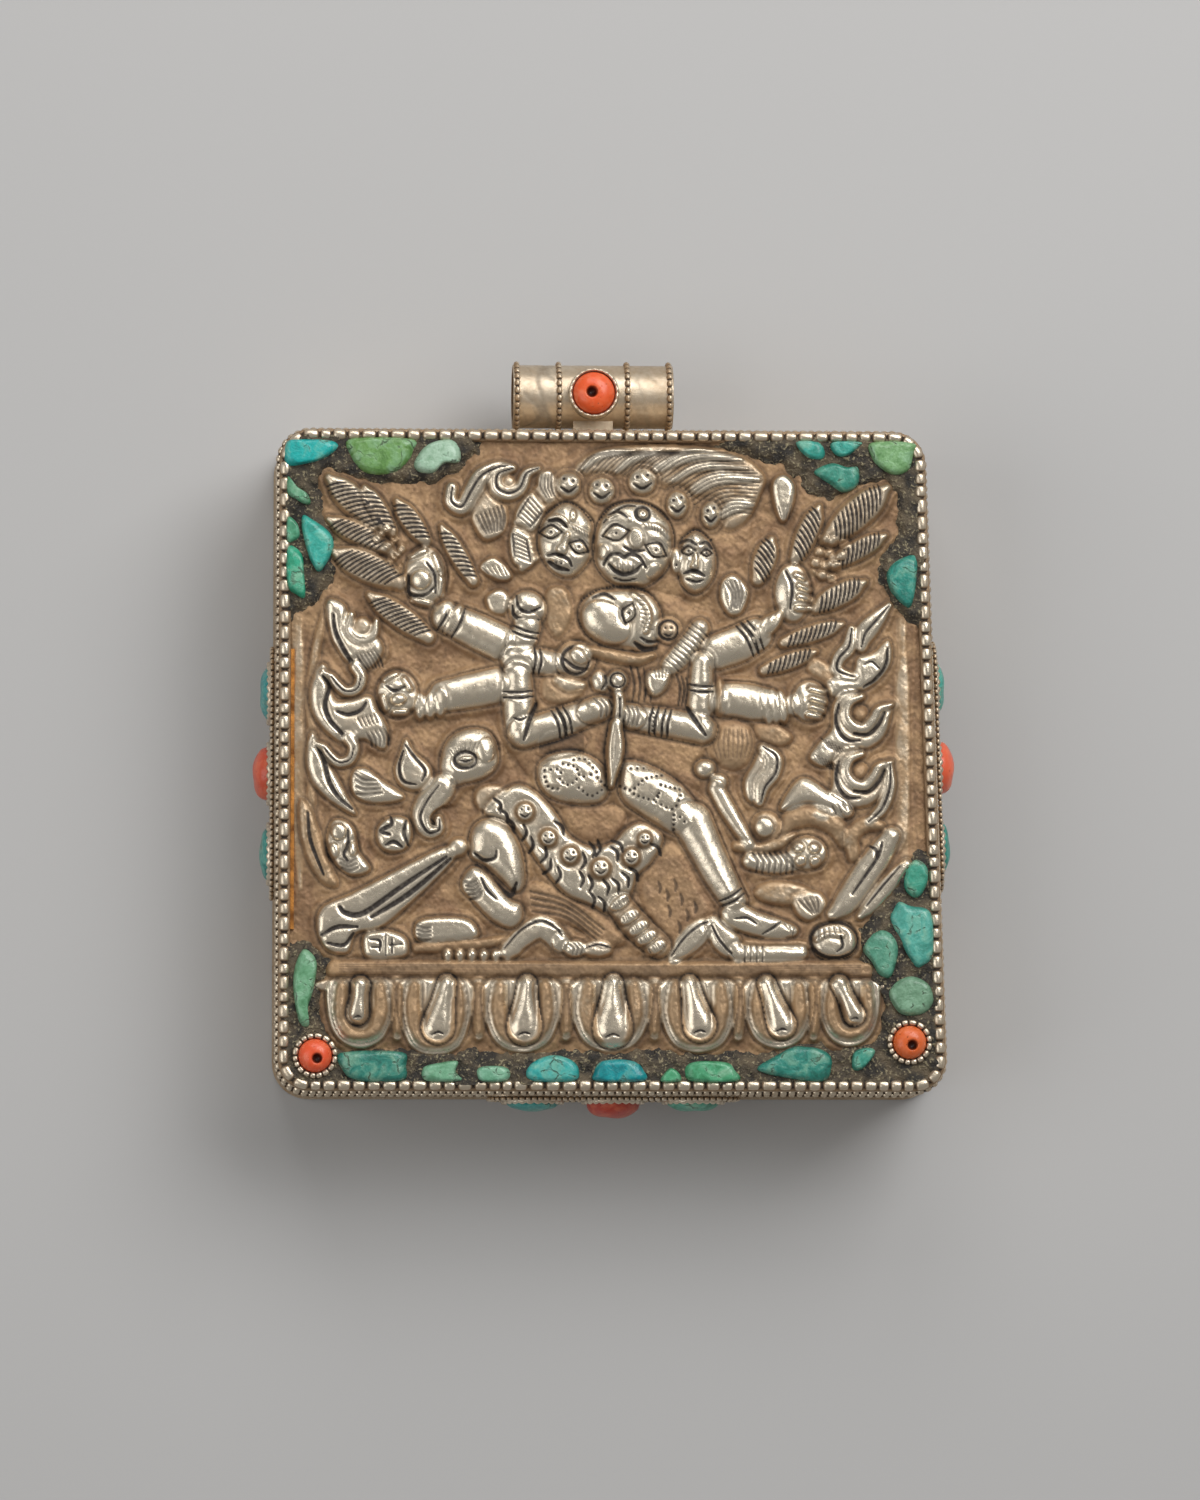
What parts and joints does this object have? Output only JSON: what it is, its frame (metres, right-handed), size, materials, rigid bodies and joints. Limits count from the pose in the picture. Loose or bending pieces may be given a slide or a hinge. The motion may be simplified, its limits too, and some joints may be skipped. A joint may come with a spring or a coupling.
{
  "type": "ghau amulet box",
  "caption": "Square silver amulet box with a repousse front of a winged deity on a lotus, turquoise and coral in black mastic, a tube bail on top and a push-fit back pan.",
  "frame": {"origin": "middle of the back plate's outer face, the face that the box rests on", "axes": "+Z out of the relief front, +Y towards the bail, +X to the right seen from the front"},
  "size_m": [0.0711, 0.0767, 0.0183],
  "materials": {
    "silver": "aged silver, polished on the high points, brown patina in the hollows",
    "turquoise": "worn natural turquoise with brown matrix",
    "coral": "polished orange-red coral",
    "mastic": "grainy black lac mastic",
    "gilt": "worn copper-gold edge"
  },
  "bodies": {
    "back": {"back_plate": "silver", "back_skirt": "silver"},
    "case": {"bail_coral": "coral", "bail_cup": "silver", "bail_foot": "silver", "bail_rings": "silver", "bail_tube": "silver", "bottom_coral": "coral", "bottom_cups": "silver", "bottom_plate": "silver", "bottom_plate_wire": "silver", "bottom_turquoise": "turquoise", "case_wall": "silver", "corner_coral_left": "coral", "corner_coral_right": "coral", "corner_ring_left": "silver", "corner_ring_right": "silver", "edge_strip": "gilt", "front_sheet": "silver", "left_coral": "coral", "left_cups": "silver", "left_plate": "silver", "left_plate_wire": "silver", "left_turquoise": "turquoise", "mastic_lower": "mastic", "mastic_top_left": "mastic", "mastic_top_right": "mastic", "right_coral": "coral", "right_cups": "silver", "right_plate": "silver", "right_plate_wire": "silver", "right_turquoise": "turquoise", "rim_wire": "silver", "turquoise_bottom_row": "turquoise", "turquoise_lower_left": "turquoise", "turquoise_lower_right": "turquoise", "turquoise_top_left": "turquoise", "turquoise_top_right": "turquoise", "wall_wire_lower": "silver", "wall_wire_upper": "silver"}
  },
  "joints": [
    {"name": "case_lift", "type": "slide", "parent": "back", "child": "case", "axis": [0, 0, 1], "range_m": [0, 0.03]}
  ]
}
